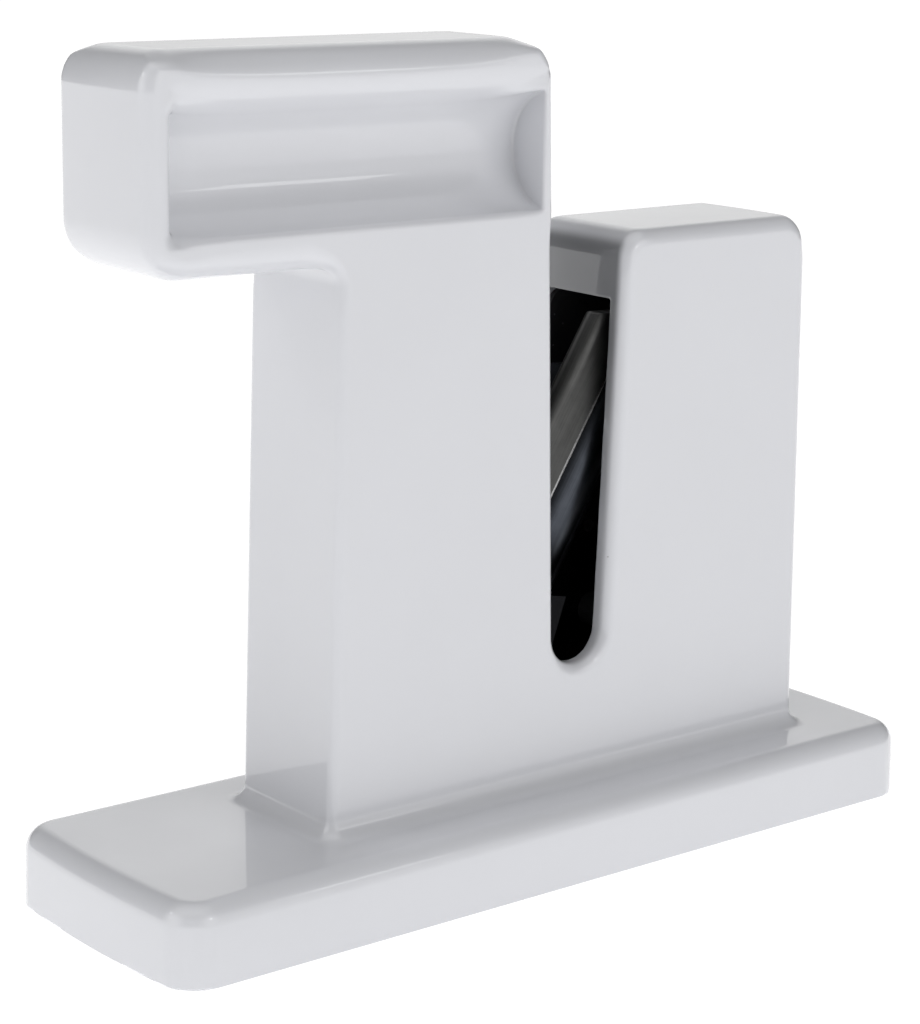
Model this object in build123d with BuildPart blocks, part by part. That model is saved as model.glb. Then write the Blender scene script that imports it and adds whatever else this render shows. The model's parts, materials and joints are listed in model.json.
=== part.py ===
from build123d import *
import os
from math import cos, radians, sin, tan

os.makedirs("parts", exist_ok=True)

# A pull-through knife sharpener, in millimetres.
# Origin: centre of the base, on the table. X runs along the base, the handle points to -X,
# the front is the -Y side and Z is up. Heights are above the underside of the housing.

# Base of the housing
base_length = 140.0
base_width = 44.3
base_height = 11.45
base_corner_radius = 5.3
base_edge_radius = 2.9
base_end_bow = 0.65
base_draft = 0.9

# Towers and handle of the housing
body_depth = 21.75
left_tower_reach = 37.35
right_tower_reach = 54.8
tower_draft = 1.15
right_tower_height = 92.8
handle_reach = 67.0
handle_underside = 91.4
handle_height = 29.6
body_edge_radius = 1.4
armpit_radius = 2.5
handle_heel_radius = 7.0
handle_nose_radius = 5.0
handle_crown_radius = 6.0
handle_top_radius = 5.0
right_tower_corner_radius = 4.2
root_radius = 2.0

# Knife slot between the towers, a flared U
slot_offset = 8.5
slot_floor = 29.0
slot_floor_width = 9.4
slot_floor_radius = 4.6
slot_flare = 2.05

# Finger channel along both sides of the handle
channel_radius = 8.6
channel_centre_outset = 1.6
channel_centre_height = 105.4
channel_crest_height = 116.4
channel_nose_margin = 4.8
channel_slot_margin = 1.9

# Hollow of the towers, open downwards
hollow_half_length = 41.2
hollow_depth = 15.4
hollow_top = 82.6
hollow_corner_radius = 1.5

# Bottom cover and feet
cover_length = 124.0
cover_width = 34.0
cover_thickness = 1.8
cover_corner_radius = 4.0
foot_stand = 0.6
foot_seat_depth = 0.6
foot_radius = 4.5
foot_end_inset = 16.0
foot_side_inset = 6.0

# Countersunk screws of the cover
cover_screw_inset = 5.0
cover_screw_radius = 1.5
cover_screw_head_radius = 2.8
cover_screw_length = 8.0

# Cartridge: a floor flange that closes the hollow, and a block with the spring pockets
flange_thickness = 3.0
flange_height = 4.5
block_half_length = 22.0
block_height = 8.5
boss_inset = 3.0
boss_radius = 3.6
boss_length = 16.0
mounting_screw_radius = 1.5
mounting_screw_head_radius = 2.7
mounting_screw_head_height = 1.6
mounting_screw_grip = 9.0

# Cartridge side plates, each with a notch for the blade
plate_half_length = 30.0
plate_thickness = 1.0
plate_top_gap = 0.5
plate_corner_radius = 3.0
notch_half_width = 7.6
notch_floor = 26.5
notch_radius = 7.0

# Tie rivets through plates, block and spacers
rivet_radius = 1.2
rivet_head_radius = 2.0
rivet_head_height = 0.8
block_rivet_offset = 18.0
block_rivet_height = 12.0
spacer_offset = 27.4
spacer_drop = 4.6
spacer_radius = 2.2

# Arms: one leans right in the front half, its twin leans left in the rear half
pivot_offset = 11.6
pivot_height = 33.5
pin_radius = 1.5
sleeve_radius = 2.6
hub_radius = 5.0
stop_offset = 7.2
stop_radius = 1.5
arm_underside = 31.0
arm_tail = 10.3
arm_pad = 9.8
mid_gap = 0.15
arm_plate_gap = 0.2
web_set_back = 1.2
web_edge_radius = 0.8
ridge_radius = 4.5
ridge_height = 1.6

# Free edge of the web, as shares of its reach and rise from the pivot
web_reach = 20.0
web_rise = 40.0
web_edge_shares = (
    (0.620, 0.120),
    (0.715, 0.202),
    (0.825, 0.298),
    (0.955, 0.408),
    (1.235, 0.652),
    (1.285, 0.812),
    (1.105, 0.962),
)
ridge_end_shares = ((0.380, 0.160), (1.240, 0.850))

# Steels: flat bars with rounded edges, crossed in a V under the blade
steel_width = 7.6
steel_thickness = 2.9
steel_edge_radius = 1.1
steel_lean = 32.0
steel_crossing_height = 71.0
steel_tang_height = 44.5
steel_crest_height = 80.4
steel_top_slope = 3.0
steel_rivet_radius = 1.0
steel_rivet_head_radius = 1.8
steel_rivet_heights = (48.5, 55.0)

# Springs under the arms
spring_offset = 7.2
spring_radius = 2.4
spring_bore_radius = 1.7
spring_pocket_depth = 4.0
spring_pocket_radius = 2.65

# Clearances
running_fit = 0.05
seat_fit = 0.05
overrun = 1.0

# Levels and places that follow from the sizes
underside = foot_stand
deck = underside + base_height
handle_floor = underside + handle_underside
handle_roof = handle_floor + handle_height
right_tower_roof = underside + right_tower_height
slot_low = underside + slot_floor
hollow_roof = underside + hollow_top
root = underside + base_height / 2
half_depth = body_depth / 2
half_hollow = hollow_depth / 2
plate_outer = half_hollow - 2 * seat_fit
plate_inner = plate_outer - plate_thickness
flange_low = underside + flange_height
flange_top = flange_low + flange_thickness
block_top = flange_top + block_height
plate_roof = hollow_roof - plate_top_gap
spacer_height = hollow_top - plate_top_gap - spacer_drop
boss_place = hollow_half_length - boss_inset
screw_spread = cover_length - 2 * cover_screw_inset
screw_gauge = cover_width - 2 * cover_screw_inset
foot_spread = cover_length - 2 * foot_end_inset
foot_gauge = cover_width - 2 * foot_side_inset
turn_axis = Axis((slot_offset, 0, 0), (0, 0, 1))


def slot_half_width(z):
    """Half the width of the knife slot at a height."""
    return slot_floor_width / 2 + (z - slot_low) * tan(radians(slot_flare))


def left_face(z):
    """Outer face of the left tower at a height."""
    return -left_tower_reach + (z - deck) * tan(radians(tower_draft))


def right_face(z):
    """Outer face of the right tower at a height."""
    return right_tower_reach - (z - deck) * tan(radians(tower_draft))


def save(piece, name):
    """Label a finished piece and write it."""
    piece.part.label = name
    export_step(piece.part, f"parts/{name}.step")


# Towers and handle as one block, cut to the rounded roof of the handle
outline = [
    (left_face(root), root),
    (left_face(handle_floor), handle_floor),
    (-handle_reach, handle_floor),
    (-handle_reach, handle_roof),
    (slot_offset - slot_half_width(handle_roof), handle_roof),
    (slot_offset - slot_half_width(slot_low), slot_low),
    (slot_offset + slot_half_width(slot_low), slot_low),
    (slot_offset + slot_half_width(right_tower_roof), right_tower_roof),
    (right_face(right_tower_roof), right_tower_roof),
    (right_face(root), root),
]
outline_radii = [
    0,
    armpit_radius,
    handle_heel_radius,
    handle_nose_radius,
    handle_crown_radius,
    slot_floor_radius,
    slot_floor_radius,
    right_tower_corner_radius,
    right_tower_corner_radius,
    0,
]
with BuildPart() as body_block:
    with BuildSketch(Plane.XZ):
        with BuildLine():
            FilletPolyline(*outline, radius=outline_radii, close=True)
        make_face()
    extrude(amount=half_depth, both=True)
    rims = edges().group_by(Axis.Y)[0] + edges().group_by(Axis.Y)[-1]
    fillet(rims, body_edge_radius)
    with BuildSketch(Plane.YZ):
        with Locations((0, handle_roof)):
            Rectangle(body_depth, handle_roof, align=(Align.CENTER, Align.MAX))
        fillet(vertices().group_by(Axis.Y)[-1], handle_top_radius)
    extrude(amount=base_length, both=True, mode=Mode.INTERSECT)

# Finger channel: a hollow arc, then a rounded crest that runs out into the face
crest_rise = channel_crest_height - channel_centre_height
crest_radius = (channel_centre_outset**2 + crest_rise**2 - channel_radius**2) / (
    2 * (channel_radius - channel_centre_outset)
)
channel_half_height = (channel_radius**2 - channel_centre_outset**2) ** 0.5
channel_depth = channel_radius - channel_centre_outset
channel_share = channel_radius / (channel_radius + crest_radius)
meet_depth = channel_share * (crest_radius + channel_centre_outset) - channel_centre_outset
meet_rise = channel_share * crest_rise
channel_z = underside + channel_centre_height
channel_start = -handle_reach + channel_nose_margin
channel_end = slot_offset - slot_half_width(channel_z) - channel_slot_margin

with BuildPart() as channels:
    for side in (-1, 1):
        face = side * half_depth
        low = (face, channel_z - channel_half_height)
        deep = (face - side * channel_depth, channel_z)
        meet = (face - side * meet_depth, channel_z + meet_rise)
        crest = (face, channel_z + crest_rise)
        with BuildSketch(Plane.YZ.offset(channel_start)):
            with BuildLine():
                ThreePointArc(low, deep, meet)
                TangentArc(crest, meet, tangent=(0, -1))
                outer = face + side * overrun
                Polyline(crest, (outer, crest[1]), (outer, low[1]), low)
            make_face()
        extrude(amount=channel_end - channel_start)

# Housing: base, towers and handle in one casting, hollow under the towers
with BuildPart() as housing:
    half_length = base_length / 2
    half_width = base_width / 2
    corner = half_length - base_end_bow
    with BuildSketch(Plane.XY.offset(underside)):
        with BuildLine():
            ThreePointArc((corner, -half_width), (half_length, 0), (corner, half_width))
            Line((corner, half_width), (-corner, half_width))
            ThreePointArc((-corner, half_width), (-half_length, 0), (-corner, -half_width))
            Line((-corner, -half_width), (corner, -half_width))
        make_face()
        fillet(vertices(), base_corner_radius)
    extrude(amount=base_height, taper=base_draft)
    fillet(faces().sort_by(Axis.Z)[-1].edges(), base_edge_radius)
    add(body_block.part)
    at_deck = edges().filter_by_position(Axis.Z, deck - seat_fit, deck + seat_fit)
    around = at_deck.filter_by_position(Axis.Y, -half_depth - seat_fit, half_depth + seat_fit)
    roots = around.filter_by_position(
        Axis.X, -left_tower_reach - seat_fit, right_tower_reach + seat_fit
    )
    fillet(roots, root_radius)
    add(channels.part, mode=Mode.SUBTRACT)
    with BuildSketch(Plane.XY.offset(underside)):
        with Locations((slot_offset, 0)):
            RectangleRounded(2 * hollow_half_length, hollow_depth, hollow_corner_radius)
    extrude(amount=hollow_top, mode=Mode.SUBTRACT)
    with BuildSketch(Plane.XY.offset(flange_top)):
        for side in (-1, 1):
            with Locations((slot_offset + side * boss_place, 0)):
                Circle(boss_radius)
            with Locations((slot_offset + side * (boss_place + boss_inset / 2), 0)):
                Rectangle(boss_inset + overrun, 2 * boss_radius)
    extrude(amount=boss_length)
    with Locations((slot_offset - boss_place, 0, flange_top), (slot_offset + boss_place, 0, flange_top)):
        bore_depth = mounting_screw_grip - flange_thickness + overrun
        Cylinder(
            mounting_screw_radius + seat_fit,
            bore_depth,
            align=(Align.CENTER, Align.CENTER, Align.MIN),
            mode=Mode.SUBTRACT,
        )
    with BuildSketch(Plane.XY.offset(underside)):
        RectangleRounded(
            cover_length + 2 * seat_fit, cover_width + 2 * seat_fit, cover_corner_radius + seat_fit
        )
    extrude(amount=cover_thickness, mode=Mode.SUBTRACT)
    with BuildSketch(Plane.XY.offset(underside)):
        with GridLocations(screw_spread, screw_gauge, 2, 2):
            Circle(cover_screw_radius + seat_fit)
    extrude(amount=cover_screw_length + seat_fit, mode=Mode.SUBTRACT)
save(housing, "housing")

# Bottom cover with countersunk holes and shallow seats for the feet
with BuildPart() as bottom_cover:
    with BuildSketch(Plane.XY.offset(underside)):
        RectangleRounded(cover_length, cover_width, cover_corner_radius)
    extrude(amount=cover_thickness)
    with Locations(bottom_cover.faces().sort_by(Axis.Z)[0]):
        with GridLocations(screw_spread, screw_gauge, 2, 2):
            CounterSinkHole(cover_screw_radius + seat_fit, cover_screw_head_radius + seat_fit)
    with BuildSketch(Plane.XY.offset(underside)):
        with GridLocations(foot_spread, foot_gauge, 2, 2):
            Circle(foot_radius + seat_fit)
    extrude(amount=foot_seat_depth, mode=Mode.SUBTRACT)
save(bottom_cover, "bottom_cover")

# Rubber feet
foot_names = {
    (-1, -1): "foot_front_left",
    (1, -1): "foot_front_right",
    (-1, 1): "foot_rear_left",
    (1, 1): "foot_rear_right",
}
for (across, along), foot_name in foot_names.items():
    with BuildPart() as foot:
        with BuildSketch(Plane.XY):
            with Locations((across * foot_spread / 2, along * foot_gauge / 2)):
                Circle(foot_radius)
        extrude(amount=foot_stand + foot_seat_depth)
    save(foot, foot_name)

# Cover screws: flush countersunk heads
with BuildPart() as cover_screws:
    with BuildSketch(Plane.XY.offset(underside)):
        with GridLocations(screw_spread, screw_gauge, 2, 2):
            Circle(cover_screw_radius)
    extrude(amount=cover_screw_length)
    with GridLocations(screw_spread, screw_gauge, 2, 2):
        with Locations((0, 0, underside)):
            Cone(
                cover_screw_head_radius,
                cover_screw_radius,
                cover_screw_head_radius - cover_screw_radius,
                align=(Align.CENTER, Align.CENTER, Align.MIN),
            )
save(cover_screws, "cover_screws")

# Cartridge base: flange in the hollow, block between the side plates
spring_side = (slot_offset - pivot_offset + spring_offset, -half_hollow / 2)
block_half_depth = plate_inner - seat_fit
with BuildPart() as cartridge_base:
    with BuildSketch(Plane.XY.offset(flange_low)):
        with Locations((slot_offset, 0)):
            RectangleRounded(
                2 * (hollow_half_length - seat_fit),
                hollow_depth - 2 * seat_fit,
                hollow_corner_radius - seat_fit,
            )
    extrude(amount=flange_thickness)
    with BuildSketch(Plane.XY.offset(flange_top)):
        with Locations((slot_offset, 0)):
            Rectangle(2 * block_half_length, 2 * block_half_depth)
    extrude(amount=block_height)
    with BuildSketch(Plane.XY.offset(block_top)):
        with Locations(spring_side, (2 * slot_offset - spring_side[0], -spring_side[1])):
            Circle(spring_pocket_radius)
    extrude(amount=-spring_pocket_depth, mode=Mode.SUBTRACT)
    with BuildSketch(Plane.XY.offset(flange_low)):
        with Locations((slot_offset - boss_place, 0), (slot_offset + boss_place, 0)):
            Circle(mounting_screw_radius + seat_fit)
    extrude(amount=flange_thickness, mode=Mode.SUBTRACT)
    with BuildSketch(Plane.XZ):
        with Locations(
            (slot_offset - block_rivet_offset, underside + block_rivet_height),
            (slot_offset + block_rivet_offset, underside + block_rivet_height),
        ):
            Circle(rivet_radius + seat_fit)
    extrude(amount=half_hollow, both=True, mode=Mode.SUBTRACT)
save(cartridge_base, "cartridge_base")

# Mounting screws: from below through the flange into the housing bosses
with BuildPart() as mounting_screws:
    with BuildSketch(Plane.XY.offset(flange_low)):
        with Locations((slot_offset - boss_place, 0), (slot_offset + boss_place, 0)):
            Circle(mounting_screw_head_radius)
    extrude(amount=-mounting_screw_head_height)
    with BuildSketch(Plane.XY.offset(flange_low)):
        with Locations((slot_offset - boss_place, 0), (slot_offset + boss_place, 0)):
            Circle(mounting_screw_radius)
    extrude(amount=mounting_screw_grip)
save(mounting_screws, "mounting_screws")

# Cartridge side plates: pins, stops and rivets sit in their holes
pivot = (slot_offset - pivot_offset, underside + pivot_height)
stop = (pivot[0] - stop_offset, underside + arm_underside - stop_radius - seat_fit)
rivet_places = [
    (slot_offset + side * offset, underside + rise)
    for side in (-1, 1)
    for offset, rise in ((block_rivet_offset, block_rivet_height), (spacer_offset, spacer_height))
]
pin_places = [
    (slot_offset + side * (place[0] - slot_offset), place[1])
    for side in (-1, 1)
    for place in (pivot, stop)
]
for side, plate_name in ((-1, "cartridge_front_plate"), (1, "cartridge_rear_plate")):
    with BuildPart() as side_plate:
        with BuildSketch(Plane.XZ.offset(-side * plate_inner)):
            with BuildLine():
                FilletPolyline(
                    (slot_offset - plate_half_length, flange_top),
                    (slot_offset - plate_half_length, plate_roof),
                    (slot_offset - notch_half_width, plate_roof),
                    (slot_offset - notch_half_width, underside + notch_floor),
                    (slot_offset + notch_half_width, underside + notch_floor),
                    (slot_offset + notch_half_width, plate_roof),
                    (slot_offset + plate_half_length, plate_roof),
                    (slot_offset + plate_half_length, flange_top),
                    radius=[
                        0,
                        plate_corner_radius,
                        plate_corner_radius,
                        notch_radius,
                        notch_radius,
                        plate_corner_radius,
                        plate_corner_radius,
                        0,
                    ],
                    close=True,
                )
            make_face()
            with Locations(*rivet_places):
                Circle(rivet_radius, mode=Mode.SUBTRACT)
            with Locations(*pin_places):
                Circle(pin_radius, mode=Mode.SUBTRACT)
        extrude(amount=-side * plate_thickness)
        for place in rivet_places:
            outer_face = Plane((place[0], side * plate_outer, place[1]), z_dir=(0, -side, 0))
            with Locations(outer_face):
                Cone(
                    rivet_head_radius,
                    rivet_radius,
                    rivet_head_height,
                    align=(Align.CENTER, Align.CENTER, Align.MIN),
                    mode=Mode.SUBTRACT,
                )
    save(side_plate, plate_name)

# Tie rivets, flush on both plates
with BuildPart() as tie_rivets:
    with BuildSketch(Plane.XZ):
        with Locations(*rivet_places):
            Circle(rivet_radius)
    extrude(amount=plate_outer, both=True)
    for side in (-1, 1):
        for place in rivet_places:
            outer_face = Plane((place[0], side * plate_outer, place[1]), z_dir=(0, -side, 0))
            with Locations(outer_face):
                Cone(
                    rivet_head_radius,
                    rivet_radius,
                    rivet_head_height,
                    align=(Align.CENTER, Align.CENTER, Align.MIN),
                )
save(tie_rivets, "tie_rivets")

# Spacers keep the upper ends of the plates apart
for side, spacer_name in ((-1, "left_spacer"), (1, "right_spacer")):
    with BuildPart() as spacer:
        with BuildSketch(Plane.XZ):
            with Locations((slot_offset + side * spacer_offset, underside + spacer_height)):
                Circle(spacer_radius)
                Circle(rivet_radius + seat_fit, mode=Mode.SUBTRACT)
        extrude(amount=plate_inner, both=True)
    save(spacer, spacer_name)

# Front half: pieces of the arm that leans right
lean = radians(steel_lean)
along_steel = Vector(sin(lean), cos(lean))
across_steel = Vector(cos(lean), -sin(lean))
crossing = Vector(slot_offset, underside + steel_crossing_height)
arm_front = -plate_inner + arm_plate_gap
web_front = arm_front + steel_thickness + mid_gap
web_rear = -mid_gap
low_z = underside + arm_underside


def steel_point(z, inset):
    """Point on the steel, inset from its working edge, whose edge crosses a height."""
    step = (z - crossing.Y) / along_steel.Y
    return crossing + along_steel * step + across_steel * inset


def corner_pair(point):
    """Plain pair of a point in the front view."""
    return (point.X, point.Y)


tang = underside + steel_tang_height
crest = underside + steel_crest_height
tang_near = steel_point(tang, 0)
tang_far = tang_near + across_steel * steel_width
crest_near = steel_point(crest, 0)
top_direction = Vector(cos(radians(steel_top_slope)), -sin(radians(steel_top_slope)))
crest_far = crest_near + top_direction * (steel_width / top_direction.dot(across_steel))
steel_front = arm_front + mid_gap
steel_rear = steel_front + steel_thickness
steel_rivet_places = [
    corner_pair(steel_point(underside + rise, 0) + across_steel * (steel_width / 2))
    for rise in steel_rivet_heights
]

# Steel: its long edges are rounded, its tang stands on the heel of the arm
with BuildPart() as right_leaning_steel:
    with BuildSketch(Plane.XZ.offset(-steel_rear)):
        with BuildLine():
            Polyline(
                corner_pair(tang_near),
                corner_pair(crest_near),
                corner_pair(crest_far),
                corner_pair(tang_far),
                close=True,
            )
        make_face()
    extrude(amount=steel_thickness)
    long_edges = edges().filter_by(Axis((0, 0, 0), (along_steel.X, 0, along_steel.Y)))
    fillet(long_edges, steel_edge_radius)
    with BuildSketch(Plane.XZ.offset(-steel_rear)):
        with Locations(*steel_rivet_places):
            Circle(steel_rivet_radius)
    extrude(amount=steel_thickness, mode=Mode.SUBTRACT)
    for place in steel_rivet_places:
        with Locations(Plane((place[0], steel_front, place[1]), z_dir=(0, 1, 0))):
            Cone(
                steel_rivet_head_radius,
                steel_rivet_radius,
                steel_rivet_head_radius - steel_rivet_radius,
                align=(Align.CENTER, Align.CENTER, Align.MIN),
                mode=Mode.SUBTRACT,
            )
save(right_leaning_steel, "right_leaning_steel")

# Arm: a web behind the steel, and a thick hub with tail, spring pad and heel
web_edge = [
    (pivot[0] + across * web_reach, pivot[1] + rise * web_rise)
    for across, rise in web_edge_shares
]
web_low = steel_point(tang, web_set_back)
web_high = steel_point(web_edge[-1][1] + web_set_back, web_set_back)
web_outline = [
    (pivot[0] - arm_tail, low_z),
    (pivot[0] + arm_pad, low_z),
    *web_edge,
    corner_pair(web_high),
    corner_pair(web_low),
    (pivot[0] - arm_tail, low_z + hub_radius),
]
ridge_low, ridge_high = [
    Vector(pivot[0] + across * web_reach, 0, pivot[1] + rise * web_rise)
    for across, rise in ridge_end_shares
]
ridge_middle = (ridge_low + ridge_high) / 2 + Vector(0, web_front + ridge_radius - ridge_height, 0)
with BuildPart() as arm_ridge:
    with Locations(Plane(ridge_middle, z_dir=ridge_high - ridge_low)):
        Cylinder(ridge_radius, (ridge_high - ridge_low).length)
    with BuildSketch(Plane.XZ.offset(-web_rear)):
        with BuildLine():
            Polyline(*web_outline, close=True)
        make_face()
    extrude(amount=half_depth, mode=Mode.INTERSECT)

with BuildPart() as right_leaning_arm:
    with BuildSketch(Plane.XZ.offset(-web_rear)):
        with BuildLine():
            Polyline(*web_outline, close=True)
        make_face()
        with Locations(pivot):
            Circle(hub_radius)
    extrude(amount=web_rear - web_front)
    with BuildSketch(Plane.XZ.offset(-web_front)):
        with BuildLine():
            Polyline(
                (pivot[0] - arm_tail, low_z),
                (pivot[0] + arm_pad, low_z),
                web_edge[0],
                corner_pair(tang_far - along_steel * running_fit),
                corner_pair(tang_near - along_steel * running_fit),
                (pivot[0] - arm_tail, low_z + hub_radius),
                close=True,
            )
        make_face()
        with Locations(pivot):
            Circle(hub_radius)
    extrude(amount=web_front - arm_front)
    at_web_front = edges().filter_by_position(Axis.Y, web_front - seat_fit, web_front + seat_fit)
    fillet(at_web_front.filter_by_position(Axis.X, web_edge[0][0], base_length), web_edge_radius)
    add(arm_ridge.part)
    with BuildSketch(Plane.XZ):
        with Locations(pivot):
            Circle(pin_radius + running_fit)
        with Locations(*steel_rivet_places):
            Circle(steel_rivet_radius)
    extrude(amount=half_depth, mode=Mode.SUBTRACT)
save(right_leaning_arm, "right_leaning_arm")

# Rivets that hold the steel on the web
with BuildPart() as right_leaning_rivets:
    with BuildSketch(Plane.XZ.offset(-web_rear)):
        with Locations(*steel_rivet_places):
            Circle(steel_rivet_radius)
    extrude(amount=web_rear - steel_front)
    for place in steel_rivet_places:
        with Locations(Plane((place[0], steel_front, place[1]), z_dir=(0, 1, 0))):
            Cone(
                steel_rivet_head_radius,
                steel_rivet_radius,
                steel_rivet_head_radius - steel_rivet_radius,
                align=(Align.CENTER, Align.CENTER, Align.MIN),
            )
save(right_leaning_rivets, "right_leaning_rivets")

# Pivot pin, with a sleeve that fills the half that the arm leaves free
with BuildPart() as left_pivot_pin:
    with BuildSketch(Plane.XZ):
        with Locations(pivot):
            Circle(pin_radius)
    extrude(amount=plate_outer, both=True)
save(left_pivot_pin, "left_pivot_pin")

with BuildPart() as left_pivot_sleeve:
    with BuildSketch(Plane.XZ):
        with Locations(pivot):
            Circle(sleeve_radius)
            Circle(pin_radius, mode=Mode.SUBTRACT)
    extrude(amount=-plate_inner)
save(left_pivot_sleeve, "left_pivot_sleeve")

# Stop pin under the tail of the arm
with BuildPart() as left_stop_pin:
    with BuildSketch(Plane.XZ):
        with Locations(stop):
            Circle(stop_radius)
    extrude(amount=plate_outer, both=True)
save(left_stop_pin, "left_stop_pin")

# Spring: the plain outer tube of a coil that stands in its pocket
with BuildPart() as left_spring:
    with BuildSketch(Plane.XY.offset(block_top - spring_pocket_depth)):
        with Locations(spring_side):
            Circle(spring_radius)
            Circle(spring_bore_radius, mode=Mode.SUBTRACT)
    extrude(amount=low_z - block_top + spring_pocket_depth)
save(left_spring, "left_spring")

# Rear half: the same pieces, turned half a turn about the upright through the slot
twins = {
    "left_leaning_steel": right_leaning_steel,
    "left_leaning_arm": right_leaning_arm,
    "left_leaning_rivets": right_leaning_rivets,
    "right_pivot_pin": left_pivot_pin,
    "right_pivot_sleeve": left_pivot_sleeve,
    "right_stop_pin": left_stop_pin,
    "right_spring": left_spring,
}
for twin_name, original in twins.items():
    with BuildPart() as twin:
        add(original.part.rotate(turn_axis, 180))
    save(twin, twin_name)
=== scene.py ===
import json
from math import cos, pi, radians, sin, sqrt, tan

import bpy
import numpy as np
from mathutils import Matrix, Vector


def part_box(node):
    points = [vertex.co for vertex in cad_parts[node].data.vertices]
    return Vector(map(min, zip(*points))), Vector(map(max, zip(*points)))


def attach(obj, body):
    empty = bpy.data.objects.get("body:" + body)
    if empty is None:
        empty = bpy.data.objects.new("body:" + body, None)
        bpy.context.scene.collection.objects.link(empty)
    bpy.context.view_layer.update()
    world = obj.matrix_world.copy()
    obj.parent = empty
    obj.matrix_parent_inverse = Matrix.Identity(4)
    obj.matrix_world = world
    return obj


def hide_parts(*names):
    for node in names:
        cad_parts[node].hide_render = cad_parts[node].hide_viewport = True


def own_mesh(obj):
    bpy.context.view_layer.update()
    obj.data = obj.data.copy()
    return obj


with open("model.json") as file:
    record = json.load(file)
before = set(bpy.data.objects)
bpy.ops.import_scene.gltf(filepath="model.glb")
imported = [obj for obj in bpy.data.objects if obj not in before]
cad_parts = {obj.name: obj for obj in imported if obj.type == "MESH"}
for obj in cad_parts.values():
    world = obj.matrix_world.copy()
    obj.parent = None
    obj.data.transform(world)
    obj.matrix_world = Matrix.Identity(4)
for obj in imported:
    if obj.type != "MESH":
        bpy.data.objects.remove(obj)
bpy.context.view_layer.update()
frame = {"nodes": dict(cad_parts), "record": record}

# Lengths below are in millimetres unless a name says otherwise; heights are above the table
MM = 0.001
STAND = 0.6

# Enamelled casting: base
BASE_HALF_LENGTH = 70.0
BASE_HALF_WIDTH = 22.15
BASE_TOP = STAND + 11.45
BASE_CORNER = 5.3
BASE_EDGE = 3.2
BASE_END_BOW = 217.0
BASE_DRAFT = 0.9

# Enamelled casting: towers and handle
BODY_HALF_DEPTH = 10.875
LEFT_REACH = 37.35
RIGHT_REACH = 54.8
TOWER_DRAFT = 1.15
RIGHT_TOP = STAND + 92.8
RIGHT_CORNER = 4.2
HANDLE_REACH = 67.0
HANDLE_LOW = STAND + 91.4
HANDLE_TOP = STAND + 121.0
HANDLE_END_BOW = 105.0
HANDLE_HEEL = 7.0
HANDLE_CORNER = 5.2
ARMPIT_COVE = 2.5
RIGHT_END_BOW = 94.0
ROOT_COVE = 2.7

# Front and rear rims: their radius on each part of the outline
RIM_SIDE = 1.3
RIM_MORE_AT_SLOT = 0.55
RIM_MORE_AT_NOSE = 0.8
RIM_HEEL = 4.2
RIM_CAP = 2.5
RIM_ROOF = 5.0

# Where one rim radius gives way to the next: distances and heights
RIM_SLOT_NEAR = (2.0, 4.0)
RIM_SLOT_TOP = (92.0, 98.0)
RIM_NOSE_REACH = (50.0, 60.0)
RIM_HANDLE_FOOT = (86.0, 90.0)
RIM_HEEL_REACH = (34.0, 42.0)
RIM_HEEL_TOP = (98.0, 106.0)
RIM_HEEL_SHARE = (0.35, 0.9)
RIM_CAP_WIDTH = 5.0
RIM_CAP_FOOT = (86.0, 93.0)
RIM_ROOF_FOOT = (104.0, 112.0)
RIM_ROOF_SHARE = (0.5, 0.95)
RIM_ROOF_END = (3.0, 6.0)
SHARE_FLOOR = 0.1

# Knife slot, a flared U
SLOT_X = 8.5
SLOT_LOW = STAND + 29.0
SLOT_HALF = 4.87
SLOT_FLARE = 2.05
SLOT_CORNER = 4.2
SLOT_MORE_AT_HANDLE = 1.8
SLOT_CORNER_RISE = (98.0, 108.0)

# Finger channel, on both faces of the handle
CHANNEL_RADIUS = 8.6
CHANNEL_OUTSET = 1.6
CHANNEL_Z = STAND + 105.4
CHANNEL_CREST = 3.54
CHANNEL_CREASE = 0.8
CHANNEL_END = 1.2
CHANNEL_STOP = 0.35
CHANNEL_LEFT = -62.2
CHANNEL_RIGHT = -0.8
MOUTH_MARGIN = 3.0
MOUTH_SHARE = (0.45, 0.8)
MOUTH_RISE = (100.0, 107.0)
MOUTH_LEFT_END = 2.2
MOUTH_LESS_AT_RIGHT = 1.85
MOUTH_END_SPAN = (-30.0, -10.0)

# Coil springs: radius of the coil, radius of its wire, and number of turns
COIL_RADIUS = 2.05
COIL_GAUGE = 0.35
COIL_TURNS = 8.5

# Steel bars, crossed under the slot; their fronts lie just behind the heads of the rivets
STEEL_LEAN = 32.0
STEEL_WIDTH = 7.6
STEEL_FRONT = -6.2
STEEL_REAR = -3.35
STEEL_CROSSING = STAND + 71.0
STEEL_TANG = STAND + 44.5
STEEL_CREST = STAND + 80.4
STEEL_TOP_SLOPE = 3.0
STEEL_CORNERS = (2.0, 0.9, 0.45, 0.45)
STEEL_END_EDGE = 0.35
THINNEST_CORNER = 0.03

# Painted highlights on the edges of a bar, a bright colour where its rounded edges catch the light: the
# right one by the sideways part of its normal, the left one fainter
EDGE_HIGHLIGHT_RISE = (0.05, 0.3)
EDGE_HIGHLIGHT_FALL = (0.6, 0.95)
LEFT_HIGHLIGHT_SHARPNESS = 60
LEFT_HIGHLIGHT_SHARE = 0.35
LEFT_HIGHLIGHT_MARGIN = 0.1

# Painted highlight line beside the crest of an arm's ridge, a bright colour where the ridge catches the
# light: start, middle and end across the lean
RIDGE_HIGHLIGHT_ACROSS = (22.6, 23.9, 25.2)
RIDGE_FOOT = (STEEL_TANG - 1.0, STEEL_TANG + 5.0)

# Painted shade on the slot's wall, a darker enamel colour where little light reaches: from none to
# full, across the slot, through the wall and up it
SHADE_ACROSS = (8.6, 7.0)
SHADE_DEPTH = (10.0, 8.6)
SHADE_RISE = (36.0, 92.0)
SHADE_TOP = (93.4, 91.0)

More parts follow.
